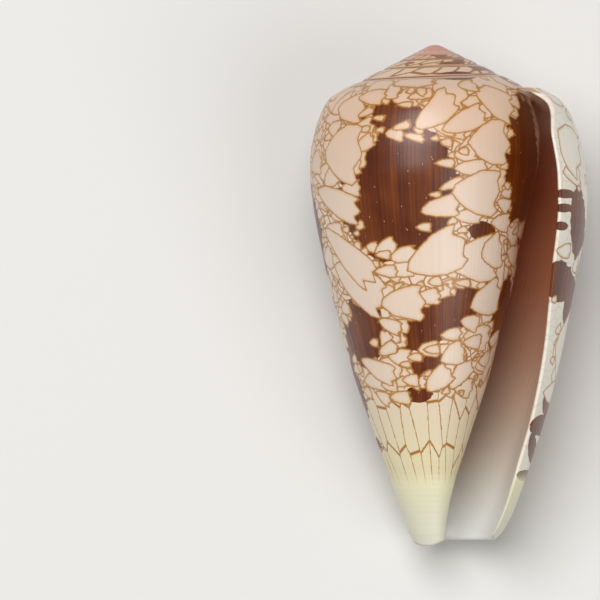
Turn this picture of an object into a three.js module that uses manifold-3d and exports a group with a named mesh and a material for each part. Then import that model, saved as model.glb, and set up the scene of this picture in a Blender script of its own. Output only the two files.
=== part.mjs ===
// A cone shell, a right-handed coil 50 mm long, lying on its back with its mouth up.
//
// The shell is one piece that grew as a spiral. It is first built in its own coordinates: the coiling
// axis is Y with the tip of the spire's cone at the origin and the spire up, and the mouth faces +Z. A
// place on it is given by a turn, counted back round the coil from the right-hand side (+X), and by a
// depth down the axis. One turn further back is one whorl further in.
import * as THREE from "three";
import { mergeVertices } from "three/addons/utils/BufferGeometryUtils.js";
import Module from "manifold-3d";

// Driving dimensions, in millimetres, turns and degrees.
const WHORL_GROWTH = 1.44; // how much larger the spire's whorls get in each turn
const SPIRE_WHORLS = 7;
const APEX_DEPTH = 0.2; // of the rounded apex, below the tip of the spire's cone
const SUTURE_DEPTH = 4.6; // of the last suture, on the right-hand side
const SHOULDER_DEPTH = SUTURE_DEPTH * WHORL_GROWTH; // where that whorl's own suture would be
const SHOULDER_RADIUS = 12.7;
const BASE_DEPTH = 49.8; // of the open narrow end
const TIP_DROP = 0.5; // how far the columella's tip reaches past the rest of the narrow end
const TIP_TURN = 0.6;
const LIP_TURN = -39 / 360; // where the outer lip ends, in front of the right-hand side
const LIP_SLANT = 4.5 / 360; // how far the lip draws back on the lower half
const LIP_SINUS = 12 / 360; // how far the lip draws back where it meets the spire
const LIP_RISE = 0.8; // how far the shoulder is lifted towards the lip

// The outline on the right-hand side, [depth, radius], from the suture over the shoulder to the end.
const OUTLINE = smoothThrough([
  [SUTURE_DEPTH, SHOULDER_RADIUS / WHORL_GROWTH], [5.0, 10.0], [5.5, 11.0], [6.0, 11.9],
  [SHOULDER_DEPTH, SHOULDER_RADIUS], [8.4, 13.75], [10.8, 14.55], [13.2, 15.05], [15.6, 15.1],
  [18, 14.95], [22.8, 14.05], [27.6, 13.1], [32.4, 12.05], [37.2, 10.75], [42, 9.15],
  [44.4, 8.35], [46.8, 7.45], [48.8, 6.4], [BASE_DEPTH, 5.4],
]);

// How many times wider the coil gets in one turn, [depth, ratio], at a level below the shoulder.
const COIL_RATIO = smoothThrough([
  [8, 1.46], [12.5, 1.53], [17, 1.66], [20, 1.74], [24, 1.8], [29.6, 2.09],
  [34.6, 2.44], [39.6, 3.35], [43.6, 5.4], [46.2, 8.2], [48.2, 11], [BASE_DEPTH, 12],
]);
const COIL_LAG = [0.3, 0.7]; // how much of that widening waits for the later half turn, high and low
const SHOULDER_BLEND = [8, 20]; // the depths between which the coil's rule changes over

// The hollow.
const WALL = 1.5; // the outer wall, well inside the lip
const LIP_EDGE = 0.3; // the wall at the lip's edge
const LIP_BEVEL_TURNS = 0.12; // over which the edge grows to the full wall
const HOLLOW_LEAD = 0.03; // how far in front of the lip the hollow's cut starts
const REACH = [0.4, -0.04]; // where it stands off the older whorl: at its start, and inside the lip
const HOLLOW_END = 0.84; // the turn of its closed inner end
const ROOF_DEPTH = 5.1; // on the outline, where the hollow's roof starts
const CANAL_TURNS = [0.36, 0.56]; // between which the hollow stops being open at the narrow end
const HOLLOW_FLOOR = [54, 42]; // its depth where it is open at the narrow end, and at its inner end

// How it lies: the shell is rolled about its axis, then its spire is raised, until it rests.
const ROLL = -3;
const RAISE = 11.4;
const WORN_OFF = 0.1; // how much of the back is worn away, in the flat that it lies on

const STEPS_PER_TURN = 60;
const RAMP_ROWS = 3;
const SIDE_DEPTHS = [
  7.4, 8.6, 10, 11.6, 13.4, 15.6, 18, 20.5, 23, 26, 29, 32, 35, 38, 40.8, 43.2, 45.2, 46.8, 48.1, 49.1,
  BASE_DEPTH,
];
const HOLLOW_STEPS = 44;
const HOLLOW_ROWS = 14;

const { lerp, smoothstep } = THREE.MathUtils;

// A smooth curve through points sorted by their first number, which never overshoots them.
function smoothThrough(points) {
  const slopes = points.slice(1).map(([x, y], i) => (y - points[i][1]) / (x - points[i][0]));
  const tangents = points.map((_, i) => {
    if (i === 0) return slopes[0];
    if (i === slopes.length) return slopes[i - 1];
    const [before, after] = [slopes[i - 1], slopes[i]];
    return before * after <= 0 ? 0 : (2 * before * after) / (before + after);
  });
  return (x) => {
    const next = points.findIndex(([known], i) => i > 0 && x <= known);
    const i = (next < 0 ? points.length - 1 : next) - 1;
    const [[x0, y0], [x1, y1]] = [points[i], points[i + 1]];
    const t = THREE.MathUtils.clamp((x - x0) / (x1 - x0), 0, 1);
    const bend = (x1 - x0) * t * (1 - t) * (tangents[i] * (1 - t) - tangents[i + 1] * t);
    return lerp(y0, y1, t * t * (3 - 2 * t)) + bend;
  };
}

const scaleAt = (turn) => WHORL_GROWTH ** -turn;

// The outer surface's radius at a turn and a depth: near the spire a smaller copy of the outline,
// lower down the outline wound in by the coil ratio of that level.
function radiusAt(turn, depth) {
  const scale = scaleAt(turn);
  const nearSpire = scale * OUTLINE(depth / scale);
  const lag = lerp(...COIL_LAG, smoothstep(depth, 36, BASE_DEPTH));
  const wound = turn * (1 + lag * (turn - 1));
  const onTheSide = OUTLINE(depth) * COIL_RATIO(depth) ** -wound;
  return lerp(nearSpire, onTheSide, smoothstep(depth, ...SHOULDER_BLEND));
}

// The depth, at a turn, of the spiral line that crosses the right-hand outline at the depth given.
function depthAt(turn, outlineDepth) {
  const climbs = 1 - smoothstep(outlineDepth, 12, BASE_DEPTH);
  const towardsTip = Math.max(0, Math.cos(2 * Math.PI * (turn - TIP_TURN))) ** 2;
  const tip = TIP_DROP * towardsTip * smoothstep(outlineDepth, 44, BASE_DEPTH);
  return outlineDepth * scaleAt(turn) ** climbs + tip;
}

// How far the shoulder is lifted, at a turn, on the spiral line of an outline depth.
function liftAt(turn, outlineDepth) {
  const nearLip = 1 - smoothstep(turn, LIP_TURN, 0.15);
  const onShoulder = smoothstep(outlineDepth, SUTURE_DEPTH, 5.2) * (1 - smoothstep(outlineDepth, 6, 15));
  return LIP_RISE * nearLip * onShoulder;
}

// A point in the shell's own coordinates.
function place(turn, radius, depth) {
  const angle = 2 * Math.PI * turn;
  return new THREE.Vector3(radius * Math.cos(angle), -depth, -radius * Math.sin(angle));
}

// A point of the outer surface. The lip isn't straight, so the spiral lines start at shifted turns.
function surfacePoint(whorl, share, outlineDepth) {
  const sinus = (depth) => LIP_SINUS * (1 - smoothstep(depth, 5.5, 10));
  const shiftLater = sinus(outlineDepth / WHORL_GROWTH);
  const shiftAtLip = sinus(outlineDepth) + LIP_SLANT * smoothstep(outlineDepth, 18, 34);
  const shift = whorl > 0 ? LIP_SINUS : lerp(shiftAtLip, shiftLater, share);
  const turn = LIP_TURN + whorl + share + shift;
  const depth = depthAt(turn, outlineDepth);
  return place(turn, radiusAt(turn, depth), depth - liftAt(turn, outlineDepth));
}

// Triangles are collected as corner points, and merged into one closed solid at the end.
class Facets {
  constructor() {
    this.corners = [];
  }

  triangle(a, b, c) {
    this.corners.push(a, b, c);
  }

  quad(a, b, c, d) {
    this.triangle(a, b, c);
    this.triangle(a, c, d);
  }

  solid(wasm) {
    const merged = mergeVertices(new THREE.BufferGeometry().setFromPoints(this.corners), 1e-4);
    const index = merged.index.array;
    const kept = [];
    for (let i = 0; i < index.length; i += 3) {
      const [a, b, c] = index.subarray(i, i + 3);
      if (a !== b && b !== c && c !== a) kept.push(a, b, c);
    }
    const vertProperties = merged.attributes.position.array;
    const triVerts = new Uint32Array(kept);
    return new wasm.Manifold(new wasm.Mesh({ numProp: 3, vertProperties, triVerts }));
  }
}

// The whole coil without its hollow: the last whorl's side, the ramps of the whorls that show on the
// spire, the end of the last whorl at the lip, and the narrow end.
function coil() {
  const facets = new Facets();
  const rampDepths = Array.from({ length: RAMP_ROWS + 1 }, (_, i) =>
    lerp(SUTURE_DEPTH, SHOULDER_DEPTH, i / RAMP_ROWS));
  const strips = Array.from({ length: SPIRE_WHORLS + 1 }, (_, whorl) => {
    const depths = whorl > 0 ? rampDepths : [...rampDepths, ...SIDE_DEPTHS];
    return depths.map((depth) =>
      Array.from({ length: STEPS_PER_TURN + 1 }, (_, i) => surfacePoint(whorl, i / STEPS_PER_TURN, depth)));
  });
  for (const rows of strips)
    for (let j = 0; j + 1 < rows.length; j++)
      for (let i = 0; i < STEPS_PER_TURN; i++)
        facets.quad(rows[j][i], rows[j + 1][i], rows[j + 1][i + 1], rows[j][i + 1]);

  // The apex: the open edge of the smallest whorl is drawn to one point.
  const smallest = strips[SPIRE_WHORLS];
  const rim = [...smallest[0], ...smallest.slice(1).map((row) => row[STEPS_PER_TURN])];
  const apex = place(0, 0, APEX_DEPTH);
  for (let i = 0; i + 1 < rim.length; i++) facets.triangle(rim[i], rim[i + 1], apex);

  // The end of the last whorl: between the lip's outline and the whorl behind it, matched by depth.
  const lip = strips[0].map((row) => row[0]);
  const behind = strips[0].slice(RAMP_ROWS).map((row) => row[STEPS_PER_TURN]);
  let [i, j] = [0, 0];
  while (i + 1 < lip.length || j + 1 < behind.length) {
    const alongLip = j + 1 >= behind.length || (i + 1 < lip.length && lip[i + 1].y >= behind[j + 1].y);
    if (alongLip) facets.triangle(lip[i], behind[j], lip[++i]);
    else facets.triangle(lip[i], behind[j], behind[++j]);
  }

  // The narrow end.
  const end = strips[0].at(-1);
  const middle = place(0, 0, BASE_DEPTH + 0.2);
  for (let n = 0; n < STEPS_PER_TURN; n++) facets.triangle(end[n], middle, end[n + 1]);
  facets.triangle(end[STEPS_PER_TURN], middle, end[0]);
  return facets;
}

// One slice of the hollow: down the inside of the outer wall, then back up the whorl behind it.
function hollowSlice(turn) {
  const wall = lerp(LIP_EDGE, WALL, smoothstep(turn - LIP_TURN, 0, LIP_BEVEL_TURNS));
  const floor = lerp(...HOLLOW_FLOOR, smoothstep(turn, ...CANAL_TURNS));
  const reach = turn < LIP_TURN ? REACH[0] : REACH[1];
  const outer = Array.from({ length: HOLLOW_ROWS + 1 }, (_, i) => {
    const level = lerp(ROOF_DEPTH, floor, (i / HOLLOW_ROWS) ** 1.6);
    const onOutline = Math.min(level, BASE_DEPTH - 0.4);
    const depth = depthAt(turn, onOutline);
    const lean = (radiusAt(turn, depth + 0.05) - radiusAt(turn, depth - 0.05)) / 0.1;
    const inwards = new THREE.Vector2(-1, lean).normalize();
    const thickness = wall * (1 - 0.45 * smoothstep(level, 40, BASE_DEPTH));
    const below = level - onOutline - liftAt(turn, onOutline);
    return [radiusAt(turn, depth) + thickness * inwards.x, depth + thickness * inwards.y + below];
  });
  const inner = outer.map(([, depth]) => [radiusAt(turn + 1, Math.min(depth, BASE_DEPTH)) + reach, depth]);
  const roomy = outer.map(([radius, depth], i) => [Math.max(radius, inner[i][0] + 0.25), depth]);
  return [...roomy, ...inner.reverse()].map(([radius, depth]) => place(turn, radius, depth));
}

// The space the animal lived in, from just outside the lip back to a closed end.
function hollow() {
  const facets = new Facets();
  const behindLip = Array.from({ length: HOLLOW_STEPS }, (_, i) =>
    lerp(LIP_TURN, HOLLOW_END, i / (HOLLOW_STEPS - 1)));
  const slices = [LIP_TURN - HOLLOW_LEAD, ...behindLip].map(hollowSlice);
  const size = slices[0].length;
  for (let i = 0; i < HOLLOW_STEPS; i++)
    for (let j = 0; j < size; j++) {
      const next = (j + 1) % size;
      facets.quad(slices[i][j], slices[i][next], slices[i + 1][next], slices[i + 1][j]);
    }
  for (const [slice, turned] of [[slices[0], false], [slices.at(-1), true]])
    for (let j = 0; j + 1 < size / 2; j++) {
      const corners = [slice[j], slice[size - 1 - j], slice[size - 2 - j], slice[j + 1]];
      facets.quad(...(turned ? corners.reverse() : corners));
    }
  return facets;
}

// A solid as a three.js geometry.
function geometryOf(solid) {
  const { vertProperties, triVerts } = solid.getMesh();
  const geometry = new THREE.BufferGeometry();
  geometry.setAttribute("position", new THREE.BufferAttribute(vertProperties, 3));
  geometry.setIndex(new THREE.BufferAttribute(triVerts, 1));
  geometry.computeVertexNormals();
  return geometry;
}

// The solid turned as it lies, on the ground and centred.
function laidDown(solid) {
  const lie = new THREE.Matrix4()
    .makeRotationX(THREE.MathUtils.degToRad(RAISE))
    .multiply(new THREE.Matrix4().makeRotationY(THREE.MathUtils.degToRad(ROLL)));
  const whole = solid.transform(lie.elements);
  const turned = whole.trimByPlane([0, 0, 1], whole.boundingBox().min[2] + WORN_OFF);
  const { min, max } = turned.boundingBox();
  return turned.translate(-(min[0] + max[0]) / 2, -(min[1] + max[1]) / 2, -min[2]);
}

const wasm = await Module();
wasm.setup();

const grown = coil().solid(wasm).subtract(hollow().solid(wasm));
const porcelain = new THREE.MeshStandardMaterial({ color: 0xd9b79a, roughness: 0.3, metalness: 0 });
const shell = new THREE.Mesh(geometryOf(laidDown(grown)), porcelain);
shell.name = "shell";

const part = new THREE.Group();
part.add(shell);
export default part;
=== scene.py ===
"""A tented cone shell lying on its back, mouth up.

The shell is grown in its own coordinates, in millimetres: the coiling axis is Y, with the tip of the
spire's cone at the origin and the spire up, and the mouth faces +Z. A place on it is a turn, counted
back round the coil from the right-hand side (+X), and a depth down the axis.
"""

import math
import random

import bpy
import numpy as np
from mathutils import Matrix, Vector
from mathutils.kdtree import KDTree


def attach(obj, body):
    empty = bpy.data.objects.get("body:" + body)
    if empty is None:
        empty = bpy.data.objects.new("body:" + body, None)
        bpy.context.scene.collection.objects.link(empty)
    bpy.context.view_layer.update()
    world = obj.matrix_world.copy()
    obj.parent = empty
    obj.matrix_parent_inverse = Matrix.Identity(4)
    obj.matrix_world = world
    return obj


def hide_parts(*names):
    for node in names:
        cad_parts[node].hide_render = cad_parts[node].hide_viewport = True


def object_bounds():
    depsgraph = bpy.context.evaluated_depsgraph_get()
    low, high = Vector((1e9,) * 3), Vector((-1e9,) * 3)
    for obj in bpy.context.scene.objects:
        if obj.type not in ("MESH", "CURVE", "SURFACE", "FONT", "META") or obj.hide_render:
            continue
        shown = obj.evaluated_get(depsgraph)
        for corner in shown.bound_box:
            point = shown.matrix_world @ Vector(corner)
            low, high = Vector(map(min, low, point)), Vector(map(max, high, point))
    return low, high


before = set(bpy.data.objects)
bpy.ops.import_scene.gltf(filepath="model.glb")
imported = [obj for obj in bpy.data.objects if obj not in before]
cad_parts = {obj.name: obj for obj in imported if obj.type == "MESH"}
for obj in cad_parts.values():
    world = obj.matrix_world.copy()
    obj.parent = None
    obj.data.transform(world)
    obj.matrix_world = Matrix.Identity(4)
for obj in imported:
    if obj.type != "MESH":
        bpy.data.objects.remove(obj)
cad_low, cad_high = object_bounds()

# ---------------------------------------------------------------- arithmetic in node trees


class Term:
    """A number in a node tree. Arithmetic on it adds Math nodes."""

    def __init__(self, tree, socket):
        self.tree, self.socket = tree, socket

    def __add__(self, other):
        return maths("ADD", self, other)

    def __radd__(self, other):
        return maths("ADD", other, self)

    def __sub__(self, other):
        return maths("SUBTRACT", self, other)

    def __rsub__(self, other):
        return maths("SUBTRACT", other, self)

    def __mul__(self, other):
        return maths("MULTIPLY", self, other)

    def __rmul__(self, other):
        return maths("MULTIPLY", other, self)

    def __truediv__(self, other):
        return maths("DIVIDE", self, other)

    def __pow__(self, other):
        return maths("POWER", self, other)

    def __lt__(self, other):
        return maths("LESS_THAN", self, other)

    def __gt__(self, other):
        return maths("GREATER_THAN", self, other)


def node_in(tree, kind, settings=None, **inputs):
    """Adds a node; its inputs are Terms, sockets or plain values, by name."""
    node = tree.nodes.new(kind)
    for name, value in (settings or {}).items():
        setattr(node, name, value)
    for name, value in inputs.items():
        feed(tree, node.inputs[name.replace("_", " ")], value)
    return node


def feed(tree, socket, value):
    """Links a value to a socket, or sets the socket to it where it is plain."""
    if isinstance(value, Term):
        value = value.socket
    if isinstance(value, bpy.types.NodeSocket):
        tree.links.new(value, socket)
    else:
        socket.default_value = value


def maths(operation, *values):
    tree = next(v.tree for v in values if isinstance(v, Term))
    node = node_in(tree, "ShaderNodeMath", {"operation": operation})
    for socket, value in zip(node.inputs, values):
        feed(tree, socket, value)
    return Term(tree, node.outputs[0])


def smoothstep(value, low, high):
    """0 below low, 1 above high, and a smooth rise between."""
    node = node_in(value.tree, "ShaderNodeMapRange", {"interpolation_type": "SMOOTHSTEP"})
    for socket, given in zip(node.inputs, (value, low, high, 0.0, 1.0)):
        feed(value.tree, socket, given)
    return Term(value.tree, node.outputs[0])


def lerp(a, b, t):
    return a + (b - a) * t


def either(condition, if_true, if_false):
    """if_true where the condition is 1, and if_false where it is 0."""
    return lerp(if_false, if_true, condition)


# ---------------------------------------------------------------- the coil

SIZES = {
    "Whorl Growth": 1.44,
    "Suture Depth": 4.6,
    "Shoulder Depth": 4.6 * 1.44,
    "Base Depth": 49.8,
    "Apex Depth": 0.2,
    "Tip Drop": 0.5,
    "Tip Turn": 0.6,
    "Lip Turn": -39 / 360,
    "Lip Slant": 4.5 / 360,
    "Lip Sinus": 12 / 360,
    "Lip Rise": 0.8,
    "Wall": 1.5,
    "Lip Edge": 0.3,
    "Lip Bevel": 0.12,
    "Hollow Lead": 0.03,
    "Hollow End": 0.84,
    "Roof Depth": 5.1,
    "Open Floor": 54.0,
    "Closed Floor": 42.0,
    "Canal Open": 0.36,
    "Canal Closed": 0.56,
}
COUNTS = {
    "Spire Whorls": 7,
    "Steps per Turn": 330,
    "Ramp Rows": 6,
    "Side Rows": 168,
    "Hollow Steps": 110,
    "Hollow Rows": 56,
}
LONGEST_RADIUS = 16.0
LARGEST_RATIO = 12.0
SIDE_TAKES_OVER = (8.0, 20.0)  # the depths over which the spire's way of coiling becomes the side's
LAG_AT_SIDE, LAG_AT_BASE = 0.3, 0.7  # how slowly the side starts to wind in behind the lip
LAG_GROWS_FROM = 36.0
LINES_CLIMB_FROM = 12.0  # below this depth the spiral lines climb less and less
TIP_DROPS_FROM = 44.0  # the narrow end hangs lowest at one turn
LIFT_RISES_BY = 5.2
LIFT_FADES = (6.0, 15.0)
LIFT_STARTS = 0.15  # the turn from which the shoulder is lifted
SINUS_DEPTHS = (5.5, 10.0)
SLANT_DEPTHS = (18.0, 34.0)
END_BELOW_BASE = 0.2  # where the narrow end is drawn together
CANAL_ABOVE_BASE = 0.4  # the hollow follows the outline down to here
WALL_THINS_FROM = 40.0
WALL_THINS_BY = 0.45  # the share of the wall lost towards the narrow end
ROWS_CROWD_UP, STEPS_CROWD_TO_LIP = 1.6, 1.4  # powers that put more of the hollow's faces there
INTO_WHORL_BEHIND = 0.04  # how far the hollow cuts into the whorl behind it, so that no skin is left
CLEAR_OF_LIP = 0.4  # and how far it stays off that whorl outside the lip
NARROWEST_HOLLOW = 0.25
WELD = 0.0015  # points nearer than this become one

# The outline on the right-hand side, (depth, radius), from the suture over the shoulder to the end.
OUTLINE = [
    (4.6, 12.7 / 1.44), (5.0, 10.0), (5.5, 11.0), (6.0, 11.9), (6.624, 12.7), (8.4, 13.75), (10.8, 14.55),
    (13.2, 15.05), (15.6, 15.1), (18, 14.95), (22.8, 14.05), (27.6, 13.1), (32.4, 12.05), (37.2, 10.75),
    (42, 9.15), (44.4, 8.35), (46.8, 7.45), (48.8, 6.4), (49.8, 5.4),
]

# How many times wider the coil gets in one turn, (depth, ratio).
COIL_RATIO = [
    (8, 1.46), (12.5, 1.53), (17, 1.66), (20, 1.74), (24, 1.8), (29.6, 2.09), (34.6, 2.44), (39.6, 3.35),
    (43.6, 5.4), (46.2, 8.2), (48.2, 11), (49.8, 12),
]


class Coil:
    """The node tree that grows the shell."""

    def __init__(self):
        self.tree = bpy.data.node_groups.new("grown_shell", "GeometryNodeTree")
        for name, value in {**SIZES, **COUNTS}.items():
            kind = "NodeSocketInt" if name in COUNTS else "NodeSocketFloat"
            socket = self.tree.interface.new_socket(name, in_out="INPUT", socket_type=kind)
            socket.default_value = value
        self.tree.interface.new_socket("Shell", in_out="OUTPUT", socket_type="NodeSocketGeometry")
        self.given = self.tree.nodes.new("NodeGroupInput")
        self.outline_curve = self.curve(OUTLINE, LONGEST_RADIUS)
        self.ratio_curve = self.curve(COIL_RATIO, LARGEST_RATIO)

    def size(self, name):
        return Term(self.tree, self.given.outputs[name])

    def curve(self, points, top):
        """A function of depth, from a smooth curve through the points."""
        def at(depth):
            node = self.tree.nodes.new("ShaderNodeFloatCurve")
            curve = node.mapping.curves[0]
            places = [(math.sqrt(d / points[-1][0]), value / top) for d, value in points]
            curve.points[0].location, curve.points[-1].location = places[0], places[-1]
            for place in places[1:-1]:
                curve.points.new(*place)
            for point in curve.points:
                point.handle_type = "AUTO_CLAMPED"
            node.mapping.update()
            feed(self.tree, node.inputs["Value"], (depth / points[-1][0]) ** 0.5)
            return Term(self.tree, node.outputs["Value"]) * top
        return at

    def scale_at(self, turn):
        return self.size("Whorl Growth") ** (turn * -1)

    def radius_at(self, turn, depth):
        """Near the spire a smaller copy of the outline, lower down the outline wound in by the coil
        ratio of that level."""
        scale = self.scale_at(turn)
        near_spire = scale * self.outline_curve(depth / scale)
        towards_base = smoothstep(depth, LAG_GROWS_FROM, self.size("Base Depth"))
        lag = lerp(LAG_AT_SIDE, LAG_AT_BASE, towards_base)
        wound = turn * (lag * (turn - 1) + 1)
        on_the_side = self.outline_curve(depth) * self.ratio_curve(depth) ** (wound * -1)
        return lerp(near_spire, on_the_side, smoothstep(depth, *SIDE_TAKES_OVER))

    def depth_at(self, turn, outline_depth):
        """The depth, at a turn, of the spiral line through the outline at the depth given."""
        base = self.size("Base Depth")
        climbs = 1 - smoothstep(outline_depth, LINES_CLIMB_FROM, base)
        towards_tip = maths("COSINE", (turn - self.size("Tip Turn")) * (2 * math.pi))
        tip = self.size("Tip Drop") * maths("MAXIMUM", towards_tip, 0.0) ** 2
        at_tip = smoothstep(outline_depth, TIP_DROPS_FROM, base)
        return outline_depth * self.scale_at(turn) ** climbs + tip * at_tip

    def lift_at(self, turn, outline_depth):
        """How far the shoulder is lifted towards the lip."""
        near_lip = 1 - smoothstep(turn, self.size("Lip Turn"), LIFT_STARTS)
        rises = smoothstep(outline_depth, self.size("Suture Depth"), LIFT_RISES_BY)
        return self.size("Lip Rise") * near_lip * rises * (1 - smoothstep(outline_depth, *LIFT_FADES))

    def outer_point(self, share, outline_depth):
        """A turn and a point on the outer surface. The lip isn't straight, so the spiral lines start at
        shifted turns, which even out over the first turn back."""
        def sinus(depth):
            return self.size("Lip Sinus") * (1 - smoothstep(depth, *SINUS_DEPTHS))
        at_lip = sinus(outline_depth) + self.size("Lip Slant") * smoothstep(outline_depth, *SLANT_DEPTHS)
        later = sinus(outline_depth / self.size("Whorl Growth"))
        shift = lerp(at_lip, later, maths("MINIMUM", share, 1.0))
        shift = either(share > 1.0001, self.size("Lip Sinus"), shift)
        turn = self.size("Lip Turn") + share + shift
        depth = self.depth_at(turn, outline_depth)
        return turn, self.place(turn, self.radius_at(turn, depth), depth - self.lift_at(turn, outline_depth))

    def place(self, turn, radius, depth):
        """The point at a turn, a radius and a depth."""
        angle = turn * (2 * math.pi)
        node = node_in(self.tree, "ShaderNodeCombineXYZ", X=radius * maths("COSINE", angle), Y=depth * -1,
                       Z=radius * maths("SINE", angle) * -1)
        return node.outputs[0]

    def grid(self, columns, rows):
        """A grid of faces, with the column and the row of each point as whole numbers."""
        mesh = node_in(self.tree, "GeometryNodeMeshGrid", Vertices_X=columns + 1, Vertices_Y=rows + 1)
        index = Term(self.tree, self.tree.nodes.new("GeometryNodeInputIndex").outputs[0])
        column = maths("FLOOR", (index + 0.5) / (rows + 1))
        return mesh.outputs["Mesh"], column, index - column * (rows + 1)

    def sheet(self, mesh, point, turn, turned=False):
        """A grid moved to its points, keeping the turn of each."""
        if not turned:
            mesh = node_in(self.tree, "GeometryNodeFlipFaces", Mesh=mesh).outputs[0]
        moved = node_in(self.tree, "GeometryNodeSetPosition", Geometry=mesh, Position=point)
        return self.stored("turn", moved.outputs[0], turn, "FLOAT", "POINT")

    def stored(self, name, geometry, value, kind, domain):
        """The geometry with a value kept under a name."""
        node = node_in(self.tree, "GeometryNodeStoreNamedAttribute", {"data_type": kind, "domain": domain},
                       Geometry=geometry, Name=name, Value=value)
        return node.outputs[0]

    def welded(self, sheets):
        """The sheets joined along their edges."""
        joined = self.tree.nodes.new("GeometryNodeJoinGeometry")
        for sheet in reversed(sheets):
            self.tree.links.new(sheet, joined.inputs[0])
        return node_in(self.tree, "GeometryNodeMergeByDistance", Geometry=joined.outputs[0],
                       Distance=WELD).outputs[0]

    def outside(self):
        """The whole coil without its hollow."""
        steps, whorls = self.size("Steps per Turn"), self.size("Spire Whorls")
        ramp_rows, side_rows = self.size("Ramp Rows"), self.size("Side Rows")
        suture, shoulder, base = (self.size(f"{n} Depth") for n in ("Suture", "Shoulder", "Base"))
        apex = self.place(0.0 * suture, 0.0 * suture, self.size("Apex Depth"))
        end = self.place(0.0 * suture, 0.0 * suture, base + END_BELOW_BASE)

        def mixed(a, b, t):
            mix = node_in(self.tree, "ShaderNodeMix", {"data_type": "VECTOR"})
            for name, value in (("Factor_Float", t), ("A_Vector", a), ("B_Vector", b)):
                feed(self.tree, next(s for s in mix.inputs if s.identifier == name), value)
            return next(s for s in mix.outputs if s.identifier == "Result_Vector")

        sheets = []
        # The last whorl's side, and below it one more row, drawn together at the narrow end.
        mesh, column, row = self.grid(steps, side_rows + 1)
        depth = lerp(shoulder, base, maths("MINIMUM", row / side_rows, 1.0))
        turn, point = self.outer_point(column / steps, depth)
        sheets.append(self.sheet(mesh, mixed(point, end, row > side_rows + 0.5), turn))
        # The ramps of all whorls, from the lip to the apex.
        mesh, column, row = self.grid(steps * (whorls + 1), ramp_rows)
        turn, point = self.outer_point(column / steps, lerp(suture, shoulder, row / ramp_rows))
        sheets.append(self.sheet(mesh, point, turn))
        # The apex, drawn together from the top and from the end of the smallest ramp.
        mesh, column, row = self.grid(steps, 1 + 0 * ramp_rows)
        turn, point = self.outer_point(column / steps + whorls, suture)
        sheets.append(self.sheet(mesh, mixed(apex, point, row > 0.5), turn))
        mesh, column, row = self.grid(1 + 0 * steps, ramp_rows)
        turn, point = self.outer_point(whorls + 1 + 0 * column, lerp(suture, shoulder, row / ramp_rows))
        sheets.append(self.sheet(mesh, mixed(point, apex, column > 0.5), turn))
        # The end of the last whorl at the lip, between the lip's outline and the whorl behind it.
        mesh, column, row = self.grid(1 + 0 * steps, ramp_rows + side_rows + 1)
        on_ramp = lerp(suture, shoulder, maths("MINIMUM", row / ramp_rows, 1.0))
        on_side = maths("MAXIMUM", maths("MINIMUM", (row - ramp_rows) / side_rows, 1.0), 0.0)
        lip_depth = on_ramp + (base - shoulder) * on_side
        whorl_behind = maths("MAXIMUM", lip_depth, shoulder)
        turn, point = self.outer_point(column, either(column > 0.5, whorl_behind, lip_depth))
        below = row > ramp_rows + side_rows + 0.5
        sheets.append(self.sheet(mesh, mixed(point, end, below), turn, turned=True))
        return self.welded(sheets)

    def hollow_point(self, turn, share, inner):
        """A point on the hollow, at a share of the way down its outer wall, or up against the whorl
        behind it where inner is 1."""
        lip, base = self.size("Lip Turn"), self.size("Base Depth")
        bevel = smoothstep(turn - lip, 0.0, self.size("Lip Bevel"))
        wall = lerp(self.size("Lip Edge"), self.size("Wall"), bevel)
        closing = smoothstep(turn, self.size("Canal Open"), self.size("Canal Closed"))
        floor = lerp(self.size("Open Floor"), self.size("Closed Floor"), closing)
        level = lerp(self.size("Roof Depth"), floor, share ** ROWS_CROWD_UP)
        on_outline = maths("MINIMUM", level, base - CANAL_ABOVE_BASE)
        depth = self.depth_at(turn, on_outline)
        lean = (self.radius_at(turn, depth + 0.05) - self.radius_at(turn, depth - 0.05)) / 0.1
        length = maths("SQRT", lean * lean + 1)
        thickness = wall * (1 - WALL_THINS_BY * smoothstep(level, WALL_THINS_FROM, base))
        below = level - on_outline - self.lift_at(turn, on_outline)
        reached = depth + thickness * lean / length + below
        reach = either(turn < lip - 0.0001, CLEAR_OF_LIP, -INTO_WHORL_BEHIND)
        inner_radius = self.radius_at(turn + 1, maths("MINIMUM", reached, base)) + reach
        inside_wall = self.radius_at(turn, depth) - thickness / length
        outer_radius = maths("MAXIMUM", inside_wall, inner_radius + NARROWEST_HOLLOW)
        return self.place(turn, either(inner, inner_radius, outer_radius), reached)

    def hollow(self):
        """The space the animal lived in, from just outside the lip back to a closed end."""
        steps, rows = self.size("Hollow Steps"), self.size("Hollow Rows")
        lip, last = self.size("Lip Turn"), self.size("Hollow End")
        mesh, column, row = self.grid(steps, rows * 2 + 2)
        back = maths("MAXIMUM", column - 1, 0.0) / (steps - 1)
        turn = lerp(lip, last, back ** STEPS_CROWD_TO_LIP) - self.size("Hollow Lead") * (column < 0.5)
        inner = (row > rows + 0.5) * (row < rows * 2 + 1.5)
        place_in_row = either(inner, rows * 2 + 1 - row, row * (row < rows * 2 + 1.5))
        sheets = [self.sheet(mesh, self.hollow_point(turn, place_in_row / rows, inner), turn + inner)]
        for turn, turned in ((lip - self.size("Hollow Lead"), False), (last + 0, True)):
            mesh, column, row = self.grid(1 + 0 * steps, rows)
            point = self.hollow_point(turn + 0 * column, row / rows, 1 - column)
            sheets.append(self.sheet(mesh, point, last if turned else turn + 1, turned))
        return self.stored("hollow", self.welded(sheets), True, "BOOLEAN", "FACE")

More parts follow.
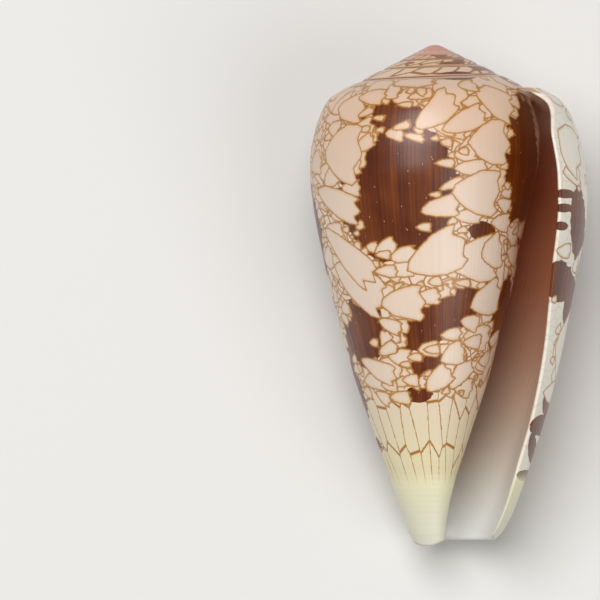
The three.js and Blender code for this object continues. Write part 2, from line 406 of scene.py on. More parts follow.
    def finish(self, porcelain, lining):
        """Cuts the hollow out of the coil, and gives each side its material."""
        cut = node_in(self.tree, "GeometryNodeMeshBoolean", {"operation": "DIFFERENCE", "solver": "MANIFOLD"},
                      Mesh_1=self.outside())
        self.tree.links.new(self.hollow(), cut.inputs["Mesh 2"])
        smooth = node_in(self.tree, "GeometryNodeSetShadeSmooth", Geometry=cut.outputs["Mesh"],
                         Shade_Smooth=True)
        real = node_in(self.tree, "GeometryNodeRealizeInstances", Geometry=smooth.outputs[0])
        outside = node_in(self.tree, "GeometryNodeSetMaterial", Geometry=real.outputs[0], Material=porcelain)
        is_hollow = node_in(self.tree, "GeometryNodeInputNamedAttribute", {"data_type": "BOOLEAN"},
                            Name="hollow")
        inside = node_in(self.tree, "GeometryNodeSetMaterial", Geometry=outside.outputs[0],
                         Selection=is_hollow.outputs["Attribute"], Material=lining)
        result = self.tree.nodes.new("NodeGroupOutput")
        self.tree.links.new(inside.outputs[0], result.inputs["Shell"])


def grown_mesh(porcelain, lining):
    """The shell as a plain mesh, in its own coordinates."""
    coil = Coil()
    coil.finish(porcelain, lining)
    seed = bpy.data.objects.new("seed", bpy.data.meshes.new("seed"))
    bpy.context.collection.objects.link(seed)
    modifier = seed.modifiers.new("growth", "NODES")
    modifier.node_group = coil.tree
    for item in coil.tree.interface.items_tree:
        if item.in_out == "INPUT":
            modifier[item.identifier] = {**SIZES, **COUNTS}[item.name]
    evaluated = seed.evaluated_get(bpy.context.evaluated_depsgraph_get())
    mesh = bpy.data.meshes.new_from_object(evaluated)
    bpy.data.objects.remove(seed)
    return mesh


# ---------------------------------------------------------------- the pattern

# Brown blotches as ovals seen from the front and from the back: how far right of the axis and below
# the tip of the cone, half the length, half the width, and the slope of the length in degrees.
FRONT_BLOTCHES = [
    (-3.8, 15.0, 5.3, 6.3, 0), (-4.4, 7.4, 2.8, 1.5, 0), (8.4, 12.6, 1.5, 7.0, 0),
    (0.3, 27.4, 5.2, 1.8, -32), (-7.6, 28.9, 1.9, 3.4, 0), (-1.2, 32.3, 2.2, 1.1, -15),
    (-2.0, 35.1, 1.3, 0.7, 0), (6.2, 27.0, 0.7, 3.6, 12), (4.4, 18.9, 1.2, 0.8, 0),
    (14.0, 18.3, 0.7, 3.4, 0), (12.6, 15.3, 0.9, 0.4, 0), (12.5, 16.7, 0.9, 0.4, 0),
    (12.2, 18.5, 0.7, 0.4, 0), (12.1, 24.0, 1.3, 1.8, 0), (13.1, 26.2, 0.5, 2.4, 8),
    (10.2, 38.3, 1.1, 0.9, -20), (10.9, 36.3, 0.5, 1.3, 0), (8.6, 43.3, 0.8, 0.5, 0),
    (9.3, 40.6, 0.4, 1.4, 0),
]
BACK_BLOTCHES = [
    (-12.7, 12.8, 2.3, 3.4, 0), (-9.4, 22.2, 6.4, 5.0, 10), (-1.6, 21.6, 3.2, 4.2, 0),
    (6.4, 14.0, 3.9, 3.1, 0), (8.2, 21.8, 8.4, 3.2, -62), (-3.9, 8.3, 1.4, 1.2, 0),
    (8.7, 7.5, 2.1, 1.0, 15), (-4.7, 28.4, 2.5, 1.5, 0), (-4.6, 38.0, 3.7, 3.6, 0),
    (5.2, 35.8, 5.8, 2.1, -52), (-0.9, 38.6, 1.7, 3.4, 0), (4.8, 40.0, 1.3, 0.9, -20),
    (-9.5, 3.9, 1.2, 0.4, -30), (6.3, 4.4, 1.6, 0.5, 25), (-14.2, 33, 0.5, 1.0, 0),
]

# The largest white tents, each drawn over those after it: the place of its point, its length, its
# width, and the slope of its middle line.
FRONT_TENTS = [
    (-3.1, 22.8, 6.6, 4.7, -26), (1.1, 22.1, 5.8, 4.8, -6), (1.5, 15.2, 5.3, 4.5, 0),
    (3.0, 10.2, 4.6, 4.7, 0), (-2.1, 8.7, 5.2, 3.0, -38), (0.4, 9.0, 5.0, 2.3, -20),
    (3.7, 4.9, 3.9, 3.4, 28), (-0.4, 4.4, 3.4, 3.2, 24), (-11.1, 10.8, 3.0, 6.0, 5),
    (-9.7, 6.7, 2.4, 3.0, 0), (-7.7, 5.4, 2.5, 1.6, 0), (-4.2, 4.2, 4.4, 1.8, -8),
    (-11.8, 14.8, 3.6, 3.0, 18), (-11.2, 18.4, 5.4, 3.4, 38), (-10.3, 22.2, 4.6, 4.2, 28),
    (-5.7, 26.2, 4.1, 3.6, -4), (-2.6, 25.7, 3.0, 1.6, -6), (-4.7, 21.7, 2.8, 1.7, -12),
    (-6.4, 22.9, 2.2, 1.3, 0), (-6.3, 21.3, 1.5, 0.9, 0), (-7.2, 22.1, 1.5, 0.7, 0),
    (-6.9, 24.2, 2.4, 2.6, 30), (-1.6, 17.1, 4.0, 2.3, -12), (1.5, 17.5, 3.0, 1.6, 0),
    (-2.1, 18.6, 1.6, 0.9, 0), (1.6, 12.6, 3.5, 1.8, 0), (-0.3, 12.1, 2.1, 0.9, 0),
    (0.1, 14.7, 2.8, 1.1, -20), (-1.0, 15.2, 1.3, 0.6, 0), (2.0, 11.1, 1.1, 0.8, 0),
    (5.3, 18.1, 2.3, 2.0, 0), (-8.3, 10.9, 2.2, 1.6, -32), (-6.4, 7.6, 1.2, 0.6, 0),
    (-7.8, 8.8, 1.2, 0.7, 0), (-6.0, 8.8, 0.9, 0.6, 0), (-4.5, 8.8, 1.9, 0.8, -16),
    (-3.4, 9.3, 2.2, 0.8, 14), (-8.0, 7.5, 1.7, 0.8, -22), (2.2, 4.4, 2.0, 1.3, 0),
    (2.2, 6.0, 2.2, 1.5, 8), (-3.0, 5.8, 2.7, 1.0, -14), (-3.9, 6.3, 1.6, 0.6, 0),
    (3.2, 26.5, 3.6, 3.6, -20), (2.2, 27.8, 2.2, 1.7, 10), (1.6, 24.0, 1.9, 0.8, 0),
    (4.4, 21.5, 2.4, 3.6, -20), (5.6, 23.5, 1.2, 3.0, -10), (-6.0, 27.7, 2.2, 1.6, 22),
    (0.2, 29.1, 2.3, 1.3, -5), (2.4, 29.8, 2.2, 1.5, 0), (-1.5, 30.6, 1.8, 0.9, 0),
    (0.2, 31.7, 2.7, 2.3, -22), (-3.1, 31.3, 1.6, 0.9, 0), (-5.9, 31.0, 1.9, 1.3, -22),
    (-7.7, 31.7, 2.8, 2.2, 22), (-6.8, 29.9, 0.8, 0.9, 0), (-1.2, 34.7, 3.2, 2.3, -42),
    (1.1, 34.6, 3.4, 2.0, -52), (-3.6, 33.8, 1.6, 1.3, 0), (-1.7, 33.3, 1.3, 0.6, -15),
    (-5.7, 34.3, 1.4, 1.4, 0), (-7.3, 33.9, 1.6, 1.9, 0), (-4.8, 35.4, 1.9, 1.4, 0),
    (-3.9, 32.2, 1.1, 0.7, 0), (12.0, 9.0, 2.6, 5.6, 40), (12.4, 13.2, 2.2, 2.6, 0),
    (11.6, 30.5, 2.6, 8.0, 0), (10.4, 35.0, 2.2, 2.6, 0), (9.6, 40.6, 2.2, 2.8, 0),
    (11.8, 21.0, 1.8, 1.5, 0), (14.4, 22.5, 1.4, 5.0, 0),
]
BACK_TENTS = [
    (-12.5, 15.7, 7.8, 8.6, 6), (-11.3, 12.3, 6.8, 4.8, -14), (0.3, 20.8, 6.2, 5.4, -5),
    (-2.5, 16.2, 5.4, 4.2, 8), (-1.1, 12.7, 5.0, 4.6, -10), (1.0, 7.3, 6.6, 4.2, 10),
    (-2.5, 9.8, 4.6, 2.6, -50), (-1.4, 24.8, 5.2, 3.8, -12), (-2.4, 25.1, 2.5, 1.2, 15),
    (-3.0, 14.0, 2.1, 2.2, 0), (-4.8, 15.3, 2.3, 2.0, 0), (-3.4, 17.7, 1.9, 1.8, 0),
    (-4.9, 16.9, 1.6, 1.1, 10), (-10.2, 9.4, 3.2, 2.8, -20), (-7.5, 7.9, 3.4, 3.0, -20),
    (-4.7, 7.4, 1.6, 1.3, 0), (-11.5, 9.2, 1.5, 0.9, 0), (8.3, 14.5, 3.2, 3.6, -35),
    (8.1, 11.2, 3.0, 3.2, -50), (7.2, 8.8, 1.9, 1.7, 0), (4.2, 17.3, 3.0, 1.4, -16),
    (6.5, 18.3, 1.9, 0.9, -10), (3.6, 11.1, 1.6, 0.8, 5), (3.8, 9.8, 2.2, 1.0, 5),
    (-12.3, 19.2, 1.5, 1.0, 0), (-12.9, 20.4, 2.0, 1.2, 5), (-7.9, 22.4, 3.5, 1.6, 5),
    (-8.9, 24.5, 5.0, 1.8, 14), (-7.3, 27.1, 3.7, 1.7, -3), (-10.7, 27.7, 3.8, 2.3, 10),
    (-12.3, 27.9, 1.8, 1.4, 25), (-11.0, 31.2, 7.0, 5.4, 14), (-6.0, 30.9, 3.6, 2.0, 4),
    (-5.3, 33.0, 3.0, 1.9, 3), (1.2, 30.2, 5.6, 3.8, -12), (-2.9, 28.2, 4.4, 5.0, -12),
    (-2.7, 31.8, 8.0, 4.6, 10), (0.8, 27.0, 2.0, 1.2, -10), (5.2, 29.8, 3.4, 1.7, -36),
    (7.1, 27.7, 4.0, 3.8, -45), (8.5, 24.6, 2.8, 3.6, -55), (-10.3, 34.7, 4.4, 4.0, 26),
    (-10.5, 36.4, 3.8, 1.7, 55), (-1.8, 35.6, 2.6, 1.6, 5), (0.6, 36.2, 5.4, 1.5, -28),
    (-0.3, 37.6, 2.5, 0.9, -10), (-1.6, 39.1, 3.2, 1.0, -20), (-1.4, 40.5, 4.0, 1.5, -15),
    (0.9, 38.5, 2.2, 0.8, -12), (-4.2, 39.4, 2.2, 0.9, 3), (-3.8, 40.9, 1.9, 0.8, 0),
    (-8.1, 39.6, 2.0, 1.6, 5), (-8.6, 40.5, 1.9, 1.4, 20), (-7.0, 41.7, 2.2, 1.3, 12),
    (-5.1, 42.7, 2.3, 1.2, 5), (-8.0, 42.5, 3.2, 1.6, 45), (-5.7, 44.2, 2.0, 2.2, 0),
    (-3.8, 44.3, 8.5, 7.4, -10), (5.3, 37.8, 1.9, 1.6, -30),
]
TENT_LAYERS = 7
LOOSE_LAYERS = 5  # the layers that the loose tents may be in, under the rest
LOOSE_TRIES = 6000
LOOSE_END = 35.0  # the depth below which there are only the large tents
LOOSE_LENGTHS = (0.8, 1.1, 1.5, 2.2, 2.8, 3.4)
LOOSE_WIDTH = 0.72  # as a share of the length
LOOSE_SLOPE = (-6, 16)  # its middle and its spread, in degrees
BLOTCH_FRAY = (-0.12, 0.14)  # how far into a blotch the points of the loose tents may reach
DEEPEST_TENT = 0.3  # no loose tent covers a place deeper in a blotch than this
LIP_TURNS = 0.02  # in front of this turn the lip is nearly bare
LIP_SHARE = 0.15  # the share of its loose tents that it keeps
UNEVEN_ALONG, UNEVEN_ACROSS = (-0.04, 0.04), (0.9, 1.08)  # how irregular the tents' outlines are
LEAST_FACING = 0.35  # limits how far a tent near the side is stretched
OTHER_SIDE = 1e3  # keeps the nearest point from being on the other side
MOUTH_FROM = 0.85  # the turns between which the whorl inside the mouth still has the outer layer
PATTERN_TO = 1.06
TURN_BLUR = 0.004  # how far a turn may be from the angle it belongs to
AROUND_SIDE = 2.5  # how soon a blotch of one side ends round on the other
REACH = 1.2  # how far from its edge a tent is still measured, in mm
GAP = 0.3  # the least room between two tents of one layer

MIDDLE_RADIUS = 13  # turns are measured out at this radius, in mm, for the materials
SCAR_START, SCAR_END = 9.6, 43.0
SCAR_DEPTHS, SCAR_ACROSS = (10.1, 42.1), (-4.1, -1.9)  # two places on the mended line
FAR_AWAY = 9.0

# Half a tent's outline, from its point, as shares of the length and of half the width.
TENT_SIDE = [(0.0, 0.0), (0.1, 0.36), (0.28, 0.68), (0.55, 0.93), (0.82, 1.0), (0.97, 0.86)]
TENT_END = [(0.88, 0.5), (1.0, 0.08)]


def distance_inside(polygon, points):
    """How far each point is inside a closed outline, less than 0 outside it."""
    starts, ends = polygon, np.roll(polygon, -1, axis=0)
    edge = ends - starts
    offset = points[:, None, :] - starts[None]
    along = np.clip((offset * edge).sum(2) / (edge * edge).sum(1), 0, 1)
    nearest = offset - along[..., None] * edge
    distance = np.sqrt((nearest**2).sum(2).min(1))
    above_start, above_end = points[:, None, 1] >= starts[None, :, 1], points[:, None, 1] >= ends[None, :, 1]
    left = edge[:, 0] * offset[..., 1] - edge[:, 1] * offset[..., 0] > 0
    crossings = (above_start & ~above_end & ~left) | (~above_start & above_end & left)
    return np.where(crossings.sum(1) % 2 == 1, distance, -distance)


class Pattern:
    """The tents of the outer surface, in layers. Two tents of a layer never touch, so each layer is one
    smooth measure of how far a place is inside a tent."""

    def __init__(self, points, turn, outer):
        self.chance = random.Random(7)
        self.which = np.nonzero(outer)[0]
        p = points[self.which]
        self.across, self.down, self.towards = p[:, 0], -p[:, 1], p[:, 2]
        self.turn, self.radius = turn[self.which], np.hypot(p[:, 0], p[:, 2])
        self.layers = np.full((TENT_LAYERS, len(self.which)), -REACH)
        front, back = self.blotched(FRONT_BLOTCHES, 1), self.blotched(BACK_BLOTCHES, -1)
        facing = self.towards / np.maximum(self.radius, 1) * AROUND_SIDE
        self.blotch = np.maximum(front + np.minimum(facing, 0), back - np.maximum(facing, 0))

    def blotched(self, ovals, side):
        """How far inside the blotches each point is, from 1 in a middle down to 0 at an edge."""
        deepest = np.full(len(self.which), -9.0)
        for across, down, half_length, half_width, slope in ovals:
            angle = math.radians(slope)
            x, y = self.across * side - across, self.down - down
            u = (x * math.cos(angle) + y * math.sin(angle)) / half_length
            v = (y * math.cos(angle) - x * math.sin(angle)) / half_width
            deepest = np.maximum(deepest, 1 - np.hypot(u, v))
        return deepest

    def nearest(self, across, down, side):
        """The point of one side nearest to a place on it."""
        apart = (self.across - across * side) ** 2 + (self.down - down) ** 2
        return int((apart + OTHER_SIDE * (self.towards * side < 0)).argmin())

    def measure(self, point, length, width, slope):
        """The points near a tent, and how far inside it each is."""
        around = (self.turn - self.turn[point]) * 2 * math.pi * self.radius[point]
        below = self.down - self.down[point]
        near = np.nonzero(np.hypot(around, below) < length + width + REACH)[0]
        sides = []
        for turned in (1, -1):
            wobble = [(u + self.chance.uniform(*UNEVEN_ALONG), v * self.chance.uniform(*UNEVEN_ACROSS))
                      for u, v in TENT_SIDE + TENT_END]
            wobble[0] = (0.0, 0.0)
            sides.append([(length * u, turned * width / 2 * v) for u, v in wobble])
        outline = np.array(sides[0] + sides[1][:0:-1])
        angle = math.radians(slope)
        turned_back = np.array([[math.cos(angle), -math.sin(angle)], [math.sin(angle), math.cos(angle)]])
        places = np.stack([around[near], below[near]], 1) @ turned_back
        return near, np.maximum(distance_inside(outline, places), -REACH)

    def put(self, near, inside, layers):
        """Puts a tent in the first of the layers that has room for it."""
        close = inside > -GAP
        for layer in layers:
            if not (self.layers[layer, near[close]] > -GAP).any():
                self.layers[layer, near] = np.maximum(self.layers[layer, near], inside)
                return

    def put_large(self, tents, side):
        """Puts the tents of a table on the front (side 1) or the back (side -1), a tent that is seen
        aslant stretched round the shell to its true length."""
        for across, down, length, width, slope in tents:
            point = self.nearest(across, down, side)
            middle = self.nearest(across + length / 3, down, side)
            facing = max(abs(self.towards[middle]) / self.radius[middle], LEAST_FACING)
            stretched = lerp(1, 1 / facing, abs(math.cos(math.radians(slope))))
            near, inside = self.measure(point, length * stretched, width, slope)
            self.put(near, inside, range(TENT_LAYERS - 1, -1, -1))

    def put_loose(self):
        """Fills the rest with smaller tents, but leaves the blotches."""
        for _ in range(LOOSE_TRIES):
            point = self.chance.randrange(len(self.which))
            length = self.chance.choice(LOOSE_LENGTHS) * self.chance.uniform(0.8, 1.2)
            if self.blotch[point] > self.chance.uniform(*BLOTCH_FRAY) or self.down[point] > LOOSE_END:
                continue
            if self.turn[point] < LIP_TURNS and self.chance.random() > LIP_SHARE:
                continue
            slope = self.chance.gauss(*LOOSE_SLOPE)
            near, inside = self.measure(point, length, length * LOOSE_WIDTH, slope)
            covered = inside > 0
            if not covered.any() or self.blotch[near[covered]].max() > DEEPEST_TENT:
                continue
            self.put(near, inside, range(LOOSE_LAYERS))


def add_attribute(mesh, name, values):
    layer = mesh.attributes.get(name) or mesh.attributes.new(name, "FLOAT", "POINT")
    layer.data.foreach_set("value", np.asarray(values, np.float32))


def mended(points, turn):
    """The turns, but those which the cut along the mouth blurred are worked out again from the angle."""
    angle = np.arctan2(-points[:, 2], points[:, 0]) / (2 * math.pi)
    off = np.abs(turn - angle - np.round(turn - angle))
    sound, blurred = np.flatnonzero(off < TURN_BLUR), np.flatnonzero(off >= TURN_BLUR)
    tree = KDTree(len(sound))
    for number, vertex in enumerate(sound):
        tree.insert(points[vertex], number)
    tree.balance()
    for vertex in blurred:
        neighbour = sound[tree.find(points[vertex])[1]]
        turn[vertex] = angle[vertex] + np.round(turn[neighbour] - angle[vertex])
    return turn


def share_out(mesh, turn):
    """Gives the whorl inside the mouth back its outer layer, and says which points are of that layer."""
    outer = np.zeros(len(turn), bool)
    for face in mesh.polygons:
        corners = list(face.vertices)
        if MOUTH_FROM < np.median(turn[corners]) < PATTERN_TO:
            face.material_index = 0
        if face.material_index == 0:
            outer[corners] = True
    return outer


def scar_distance(across, down, towards):
    """How far a point is from the line down the back where the shell was once broken and mended."""
    line = np.interp(down, SCAR_DEPTHS, SCAR_ACROSS)
    past_end = np.maximum(0, down - SCAR_END) + np.maximum(0, SCAR_START - down)
    return np.minimum(np.abs(-across - line) + FAR_AWAY * (towards > 0) + past_end, FAR_AWAY)


def mark(mesh):
    """Writes what the materials need to know at each point of the shell."""
    count = len(mesh.vertices)
    points, turn = np.empty(count * 3, np.float32), np.empty(count, np.float32)
    mesh.vertices.foreach_get("co", points)
    mesh.attributes["turn"].data.foreach_get("value", turn)
    points = points.reshape(-1, 3)
    turn = mended(points, turn)
    down = -points[:, 1]
    pattern = Pattern(points, turn, share_out(mesh, turn) & (turn < PATTERN_TO))
    pattern.put_large(FRONT_TENTS, 1)
    pattern.put_large(BACK_TENTS, -1)
    pattern.put_loose()
    for number, layer in enumerate(pattern.layers):
        values = np.full(count, -REACH)
        values[pattern.which] = layer
        add_attribute(mesh, f"tents_{number}", values)
    blotch = np.full(count, -1.0)
    blotch[pattern.which] = np.clip(pattern.blotch, -1, 1)
    add_attribute(mesh, "blotch", blotch)
    suture, shoulder = SIZES["Suture Depth"], SIZES["Shoulder Depth"]
    ramp = (down * SIZES["Whorl Growth"] ** turn - suture) / (shoulder - suture)
    add_attribute(mesh, "ramp", np.clip(ramp, -0.5, 1.5))
    add_attribute(mesh, "around", turn * 2 * math.pi * MIDDLE_RADIUS)
    add_attribute(mesh, "down", down)
    add_attribute(mesh, "from_scar", scar_distance(points[:, 0], down, points[:, 2]))


# ---------------------------------------------------------------- materials


def rgb(red, green, blue):
    """A screen colour, 0 to 255, as the light it stands for."""
    parts = [((v / 255 + 0.055) / 1.055) ** 2.4 if v > 10 else v / 3295 for v in (red, green, blue)]
    return (*parts, 1)


def attribute(tree, name):
    """What the mesh says about each of its points under a name."""
    node = tree.nodes.new("ShaderNodeAttribute")
    node.attribute_name = name
    return Term(tree, node.outputs["Fac"])


def blend(tree, factor, a, b):
    node = node_in(tree, "ShaderNodeMix", {"data_type": "RGBA"})
    for name, value in (("Factor_Float", factor), ("A_Color", a), ("B_Color", b)):
        feed(tree, next(s for s in node.inputs if s.identifier == name), value)
    return next(s for s in node.outputs if s.identifier == "Result_Color")


def ramp_colour(tree, value, stops):
    """A colour for each value, smooth between the stops."""
    node = node_in(tree, "ShaderNodeValToRGB", Fac=value)
    elements = node.color_ramp.elements
    elements[0].position, elements[0].color = stops[0]
    elements[1].position, elements[1].color = stops[-1]
    for position, colour in stops[1:-1]:
        elements.new(position).color = colour
    return node.outputs["Color"]


def vector(tree, x, y, z=0.0):
    return node_in(tree, "ShaderNodeCombineXYZ", X=x, Y=y, Z=z).outputs[0]


def noise(tree, place, scale, detail=3.0):
    node = node_in(tree, "ShaderNodeTexNoise", Vector=place, Scale=scale, Detail=detail)
    return Term(tree, node.outputs[0])


def drawn_out(tree, around, down, across, along, detail=3.0):
    """Noise that is finer or coarser round the shell than down it."""
    return noise(tree, vector(tree, around * across, down * along), 1.0, detail)


def from_edge(tree, place, width, disorder=1.0):
    """How far a place is from the edges between cells one unit across, times the width."""
    kind = {"voronoi_dimensions": "2D", "feature": "DISTANCE_TO_EDGE"}
    cells = node_in(tree, "ShaderNodeTexVoronoi", kind, Vector=place, Scale=1.0, Randomness=disorder)
    return Term(tree, cells.outputs["Distance"]) * width


def oval(place, middle, half):
    """How far inside an oval a place is, from 1 in its middle down to 0 at its edge."""
    u, v = ((p - m) / h for p, m, h in zip(place, middle, half))
    return 1 - maths("SQRT", u * u + v * v)


def raise_surface(tree, shader, height, strength):
    """Gives a surface shallow relief, such as growth lines."""
    bump = node_in(tree, "ShaderNodeBump", Strength=strength, Distance=0.0001, Height=height)
    tree.links.new(bump.outputs["Normal"], shader.inputs["Normal"])


def new_material(name, roughness):
    material = bpy.data.materials.new(name)
    material.use_nodes = True
    shader = material.node_tree.nodes["Principled BSDF"]
    shader.inputs["Roughness"].default_value = roughness
    return material, material.node_tree, shader


BROWNS = [(0.3, rgb(66, 20, 3)), (0.48, rgb(94, 40, 7)), (0.62, rgb(116, 56, 12)), (0.75, rgb(134, 76, 22))]
PALE_RAMPS = [
    (0.1, rgb(222, 190, 168)), (0.35, rgb(216, 184, 146)), (0.6, rgb(206, 158, 134)),
    (0.8, rgb(198, 142, 124)),
]
# The inside's colours down the shell: the cream and pinkish white are its own, the browns between them are
# painted shade of the deep upper mouth, and the bluish white at the narrow end is its own.
LINING_AND_PAINTED_SHADE = [
    (0.09, rgb(250, 236, 214)), (0.15, rgb(246, 210, 184)), (0.21, rgb(226, 156, 120)),
    (0.3, rgb(206, 124, 84)), (0.48, rgb(200, 130, 96)), (0.64, rgb(200, 158, 132)),
    (0.78, rgb(208, 188, 168)), (0.95, rgb(222, 222, 216)),
]
HALO = rgb(208, 166, 104)  # the warm tint inside a tent's golden edge
LONG_CELLS = (34.4, 35.4)  # the depths between which the net's small cells give way to long ones
PLAIN_END = (42.6, 44.4)  # and those between which all pattern gives way to the plain narrow end
BEHIND_LAST_WHORL = (0.92, 0.93)  # the turns between which the ramps' own pattern begins
RAMPS_END = 6.0  # the depth that no ramp behind the last whorl reaches
TIP_FADES = (3.6, 4.6)  # the turns between which the pattern fades out towards the tip
IN_MOUTH = (0.955, 0.98)  # the turns between which the tan tint over the whorl in the mouth begins
LENSES = ((0.8, 0.0), (1.8, 0.9))  # brown lenses along the suture, by turn and share of the ramp
LENS_HALF = (0.052, 0.32)


def blotch_brown(tree, around, down, cloud):
    """Streaked brown with a few pale specks."""
    streaks = drawn_out(tree, around, down, 2.2, 0.05)
    brown = ramp_colour(tree, streaks * 0.6 + cloud * 0.4, BROWNS)
    specks = node_in(tree, "ShaderNodeTexVoronoi", Vector=vector(tree, around * 1.3, down * 0.9), Scale=1.0)
    speck = smoothstep(Term(tree, specks.outputs["Distance"]) * -1, -0.1, -0.04)
    return blend(tree, speck * 0.75, brown, rgb(210, 165, 125))


def tent_white(tree, around, down, turn):
    """Rosy near the spire, creamier towards the narrow end, and whitest on the lip."""
    streaks = drawn_out(tree, around, down, 6, 0.12)
    white = blend(tree, smoothstep(down, 6.0, 20.0), rgb(216, 184, 160), rgb(224, 203, 184))
    white = blend(tree, smoothstep(down, 32.0, 43.0), white, rgb(224, 214, 174))
    white = blend(tree, smoothstep(turn * -1, 0.0, 0.03), white, rgb(236, 230, 216))
    return blend(tree, smoothstep(streaks, 0.35, 0.8) * 0.25, white, rgb(206, 176, 150))


def golden_net(tree, around, down, turn, wobble, white, gold):
    """The ground between the tents: white cells with golden edges, which fade on the lip."""
    small = from_edge(tree, vector(tree, around / 1.7 + wobble, down / 1.1), 1.0)
    long = from_edge(tree, vector(tree, around / 3.1 + wobble, down / 4.6), 2.0, 0.6)
    from_line = lerp(small, long, smoothstep(down, *LONG_CELLS))
    on_lip = smoothstep(turn * -1, -0.02, 0.01) * 0.85
    return blend(tree, (1 - smoothstep(from_line, 0.03, 0.1)) * (1 - on_lip), white, gold)


def with_tents(tree, colour, wobble, white, gold):
    """Draws the layers of tents over a colour, each tent white with a golden edge."""
    for number in range(TENT_LAYERS):
        inside = attribute(tree, f"tents_{number}") + wobble
        edge = maths("ABSOLUTE", inside)
        colour = blend(tree, smoothstep(inside, -0.03, 0.05), colour, white)
        colour = blend(tree, (1 - smoothstep(edge, 0.06, 0.42)) * (inside > 0) * 0.4, colour, HALO)
        colour = blend(tree, (1 - smoothstep(edge, 0.035, 0.12)) * 0.85, colour, gold)
    return colour


def ramp_pattern(tree, turn, ramp, wobble):
    """The whorls of the spire: slanting cells and brown patches, which fade to plain rose at the tip."""
    slanted = vector(tree, turn * 17 + ramp * 0.9 + wobble, ramp * 1.1 + wobble * 0.6)
    at_suture = maths("MINIMUM", maths("ABSOLUTE", ramp), maths("ABSOLUTE", ramp - 1)) * 1.4
    from_line = maths("MINIMUM", from_edge(tree, slanted, 1.0), at_suture)
    pale = ramp_colour(tree, turn / 7, PALE_RAMPS)
    patches = noise(tree, vector(tree, turn * 6, ramp * 0.7), 1.0)
    faded = 1 - smoothstep(turn, *TIP_FADES)
    colour = blend(tree, 1 - smoothstep(from_line, 0.03, 0.13), pale, rgb(142, 84, 26))
    colour = blend(tree, smoothstep(patches, 0.52, 0.56) * faded, colour, rgb(122, 64, 18))
    return blend(tree, faded, pale, colour)


def porcelain_material():
    """The outer layer: white tents edged in gold over brown, creamier towards the narrow end."""
    material, tree, shader = new_material("tented_porcelain", 0.3)
    around, down, turn, ramp = (attribute(tree, n) for n in ("around", "down", "turn", "ramp"))
    cloud = noise(tree, vector(tree, around, down), 0.22)
    wobble = (noise(tree, vector(tree, around, down), 2.6) - 0.5) * 0.16
    brown = blotch_brown(tree, around, down, cloud)
    white = tent_white(tree, around, down, turn)
    gold = blend(tree, cloud, rgb(184, 130, 54), rgb(146, 86, 26))

    ragged = drawn_out(tree, around, down, 0.6, 1.8) - 0.5
    in_blotch = smoothstep(attribute(tree, "blotch") + ragged * 0.4, -0.16, -0.11)
    colour = blend(tree, in_blotch, golden_net(tree, around, down, turn, wobble, white, gold), brown)
    colour = with_tents(tree, colour, wobble, white, gold)
    cream = blend(tree, smoothstep(down, 43.0, 49.0), rgb(226, 220, 182), rgb(214, 212, 190))
    colour = blend(tree, smoothstep(down + wobble * 8, *PLAIN_END), colour, cream)
    on_spire = smoothstep(turn, *BEHIND_LAST_WHORL) * (down < RAMPS_END)
    colour = blend(tree, on_spire, colour, ramp_pattern(tree, turn, ramp, wobble))
    for middle in LENSES:
        colour = blend(tree, smoothstep(oval((turn, ramp), middle, LENS_HALF), 0.0, 0.1), colour, brown)
    # the whorl inside the mouth is tinted tan over its pattern, from these turns and depths
    tan_in_mouth = smoothstep(turn, *IN_MOUTH) * (down > RAMPS_END) * (1 - smoothstep(down, 40.0, 44.0))
    colour = blend(tree, tan_in_mouth * 0.75, colour, rgb(184, 132, 104))
    scar = 1 - smoothstep(attribute(tree, "from_scar"), 0.12, 0.5)
    colour = blend(tree, scar * 0.6, colour, rgb(176, 130, 116))
    tree.links.new(colour, shader.inputs["Base Color"])

    lines = drawn_out(tree, around, down, 3.2, 0.08, 5.0)
    striae = maths("SINE", down * 11.0 + cloud * 4) * smoothstep(down, 38.0, 44.0) * 0.2
    raise_surface(tree, shader, lines + striae + scar * 0.8, 0.25)
    tree.links.new((0.24 + lines * 0.14).socket, shader.inputs["Roughness"])
    return material


def lining_material():
    """The inside: its own pinkish white, made brown deep in the upper mouth by painted shade, paling to
    bluish white at the narrow end.
    """
    material, tree, shader = new_material("mouth_lining", 0.28)
    around, down = attribute(tree, "around"), attribute(tree, "down")
    cloud = noise(tree, vector(tree, around, down), 0.2)
    # painted shade: this ramp makes the lining brown in the upper mouth, where shade falls
    colour = ramp_colour(tree, (down + cloud * 3 - 1.5) / 50, LINING_AND_PAINTED_SHADE)
    tree.links.new(colour, shader.inputs["Base Color"])
    lines = drawn_out(tree, around, down, 1.2, 0.1)
    raise_surface(tree, shader, lines, 0.12)
    tree.links.new((0.24 + lines * 0.1).socket, shader.inputs["Roughness"])
    return material


# ---------------------------------------------------------------- the shell, as it lies

ROLL = -3.0  # degrees about the coiling axis
RAISE = 11.4  # degrees that the spire's end is raised
WORN_OFF = 0.0001  # how much of the back is worn away, in the flat that it lies on
MILLIMETRE = 0.001


def drop_empty_slot(mesh):
    """Drops the empty material slot that the cut leaves before the two real ones."""
    filled = [m for m in mesh.materials if m]
    indices = np.empty(len(mesh.polygons), np.int32)
    mesh.polygons.foreach_get("material_index", indices)
    mesh.materials.clear()
    for material in filled:
        mesh.materials.append(material)
    mesh.polygons.foreach_set("material_index", indices - indices.min())


mesh = grown_mesh(porcelain_material(), lining_material())
mesh.name = "cone_shell"
drop_empty_slot(mesh)
mark(mesh)

lie = Matrix.Rotation(math.radians(RAISE), 4, "X") @ Matrix.Rotation(math.radians(ROLL), 4, "Y")
mesh.transform(lie @ Matrix.Scale(MILLIMETRE, 4))
corners = np.array([v.co for v in mesh.vertices])
low, high = Vector(corners.min(0)), Vector(corners.max(0))
shift = (cad_low + cad_high - low - high) / 2
shift.z = cad_low.z - low.z - WORN_OFF
mesh.transform(Matrix.Translation(shift))
for vertex in mesh.vertices:
    vertex.co.z = max(vertex.co.z, cad_low.z)
mesh.update()
shell = bpy.data.objects.new("cone_shell", mesh)
bpy.context.collection.objects.link(shell)
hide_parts("shell")
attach(shell, "root")

# ---------------------------------------------------------------- floor, lights and camera

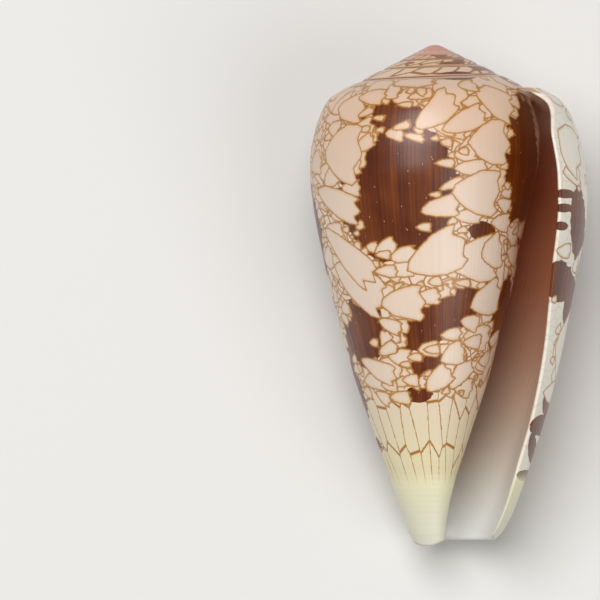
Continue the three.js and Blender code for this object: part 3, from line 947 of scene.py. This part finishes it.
FLOOR_HALF = 2.0
CORNERS = ((-1, -1), (1, -1), (1, 1), (-1, 1))
LIGHTS_AIM = Vector((0, 0, 0.012))

floor_mesh = bpy.data.meshes.new("floor")
floor_corners = [(FLOOR_HALF * x, FLOOR_HALF * y, cad_low.z) for x, y in CORNERS]
floor_mesh.from_pydata(floor_corners, [], [(0, 1, 2, 3)])
floor = bpy.data.objects.new("floor", floor_mesh)
bpy.context.collection.objects.link(floor)
floor_material, floor_tree, floor_shader = new_material("pale_floor", 0.8)
floor_shader.inputs["Base Color"].default_value = (0.72, 0.71, 0.69, 1)
floor_mesh.materials.append(floor_material)


def soft_light(name, position, size, power):
    """A round lamp that looks at the shell."""
    data = bpy.data.lights.new(name, "AREA")
    data.shape, data.size, data.energy = "DISK", size, power
    light = bpy.data.objects.new(name, data)
    light.location = position
    light.rotation_euler = (LIGHTS_AIM - Vector(position)).to_track_quat("-Z", "Y").to_euler()
    bpy.context.collection.objects.link(light)


soft_light("key", (-0.16, 0.1, 0.6), 0.5, 3.4)
soft_light("fill", (0.3, -0.3, 0.5), 0.45, 1.2)
world = bpy.data.worlds.new("studio")
world.use_nodes = True
world.node_tree.nodes["Background"].inputs["Color"].default_value = (1, 1, 1, 1)
world.node_tree.nodes["Background"].inputs["Strength"].default_value = 0.24
bpy.context.scene.world = world
bpy.context.scene.view_settings.view_transform = "Standard"

CAMERA_DISTANCE = 1.0
VIEW_WIDTH = 0.060  # across the whole view, at the shell
VIEW_CENTRE = (-13.7, -25.6, 0)  # in the shell's own coordinates
VIEW_LEAN = 0.5  # degrees that the shell leans in the view
camera_data = bpy.data.cameras.new("camera")
camera_data.lens = camera_data.sensor_width * CAMERA_DISTANCE / VIEW_WIDTH
camera = bpy.data.objects.new("camera", camera_data)
aim = lie @ (Vector(VIEW_CENTRE) * MILLIMETRE) + shift
back_off = lie @ Vector((0, 0, CAMERA_DISTANCE))
turned = lie @ Matrix.Rotation(math.radians(-VIEW_LEAN), 4, "Z")
camera.matrix_world = Matrix.Translation(aim + back_off) @ turned
bpy.context.collection.objects.link(camera)
bpy.context.scene.camera = camera
